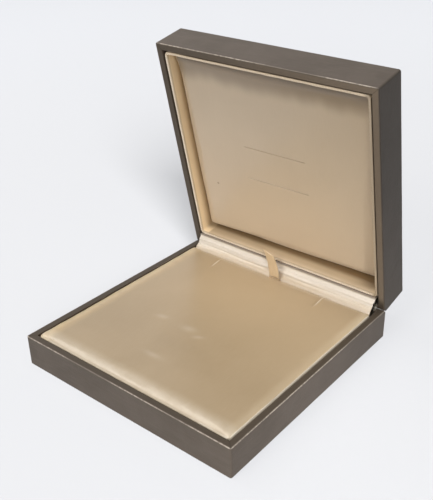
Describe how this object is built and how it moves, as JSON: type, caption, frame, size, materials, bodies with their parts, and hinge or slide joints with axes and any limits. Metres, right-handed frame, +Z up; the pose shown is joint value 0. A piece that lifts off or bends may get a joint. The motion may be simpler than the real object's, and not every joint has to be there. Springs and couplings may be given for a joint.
{
  "type": "necklace box",
  "caption": "Square taupe leatherette necklace box, open, with a champagne satin cushion and a deep satin lined hinged lid.",
  "frame": {"origin": "centre of the underside", "axes": "+Z up, +Y towards the hinge, +X to the right as seen from the front"},
  "size_m": [0.19, 0.2159, 0.2138],
  "materials": {
    "leatherette": "fine grained taupe leatherette",
    "satin": "champagne satin",
    "ribbon": "champagne satin ribbon",
    "gusset_satin": "pale satin, pleated",
    "board": "fibreboard",
    "card": "grey card",
    "foam": "soft foam",
    "liner": "dark felt paper",
    "steel": "nickelled spring steel",
    "brass": "brass plated"
  },
  "bodies": {
    "base": {"base_leatherette": "leatherette", "base_front_board": "board", "base_rear_board": "board", "base_left_board": "board", "base_right_board": "board", "base_floor_board": "board", "base_underside_liner": "liner", "base_floor_lining": "satin", "cushion_rest_front": "card", "cushion_rest_rear": "card", "cushion_rest_left": "card", "cushion_rest_right": "card", "cushion_board": "card", "cushion_foam": "foam", "cushion_satin_cover": "satin", "pull_ribbon_root": "ribbon", "hinge_leaf_base": "steel", "hinge_pin": "steel", "hinge_tack_base_1": "brass", "hinge_tack_base_2": "brass", "hinge_tack_base_3": "brass", "hinge_tack_base_4": "brass", "hinge_spring_left": "steel", "hinge_spring_right": "steel", "hinge_gusset": "gusset_satin"},
    "lid": {"lid_leatherette": "leatherette", "lid_front_board": "board", "lid_rear_board": "board", "lid_left_board": "board", "lid_right_board": "board", "lid_top_board": "board", "lid_collar_card": "card", "lid_collar_satin": "satin", "lid_panel_board": "card", "lid_panel_foam": "foam", "lid_panel_satin": "satin", "hinge_leaf_lid": "steel", "hinge_tack_lid_1": "brass", "hinge_tack_lid_2": "brass", "hinge_tack_lid_3": "brass", "hinge_tack_lid_4": "brass"},
    "pull_tab": {"pull_ribbon_tab": "ribbon"}
  },
  "joints": [
    {"name": "lid_hinge", "type": "hinge", "parent": "base", "child": "lid", "pos_m": [0, 0.0924, 0.02465], "axis": [-1, 0, 0], "range_deg": [-78, 15], "deforming": ["hinge_gusset", "hinge_spring_left", "hinge_spring_right"]},
    {"name": "pull_tab_fold", "type": "hinge", "parent": "base", "child": "pull_tab", "pos_m": [0, 0.08223, 0.0242], "axis": [-1, 0, 0], "range_deg": [-63.5, 12.5]}
  ],
  "couplings": [
    {"joint": "pull_tab_fold", "follows": "lid_hinge", "ratio": 0.8077}
  ]
}
